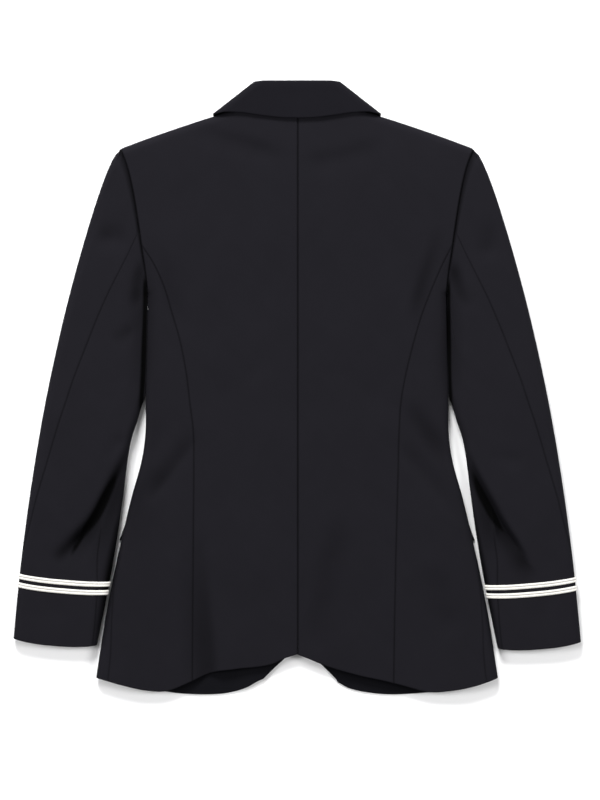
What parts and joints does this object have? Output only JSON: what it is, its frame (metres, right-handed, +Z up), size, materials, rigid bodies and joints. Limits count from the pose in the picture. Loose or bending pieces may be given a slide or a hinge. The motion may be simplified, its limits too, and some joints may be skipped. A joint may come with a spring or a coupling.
{
  "type": "flight attendant blazer",
  "caption": "Fitted uniform blazer laid flat with its back up: seamed back, two-piece sleeves with pale cuff braids, turned-down collar and curved hem.",
  "frame": {"origin": "on the surface the blazer lies on, under the middle of its box", "axes": "+X to the wearer's right, +Y from hem to collar, +Z up out of the back"},
  "size_m": [0.6692, 0.7235, 0.0254],
  "materials": {
    "suiting": "fine near-black navy wool suiting, matt",
    "facing": "the same suiting on collar and lapels, pressed",
    "braid": "off-white ribbed rank braid",
    "button": "dark semi-gloss sewn button"
  },
  "bodies": {
    "root": {"back_left": "suiting", "back_right": "suiting", "braid_lower_left": "braid", "braid_lower_right": "braid", "braid_upper_left": "braid", "braid_upper_right": "braid", "button_lower": "button", "button_upper": "button", "collar_fall": "facing", "collar_stand": "facing", "front_left": "suiting", "front_right": "suiting", "lapel_left": "facing", "lapel_right": "facing", "pocket_flap_left": "suiting", "pocket_flap_right": "suiting", "side_back_left": "suiting", "side_back_right": "suiting", "topsleeve_left": "suiting", "topsleeve_right": "suiting", "undersleeve_left": "suiting", "undersleeve_right": "suiting"}
  },
  "joints": []
}
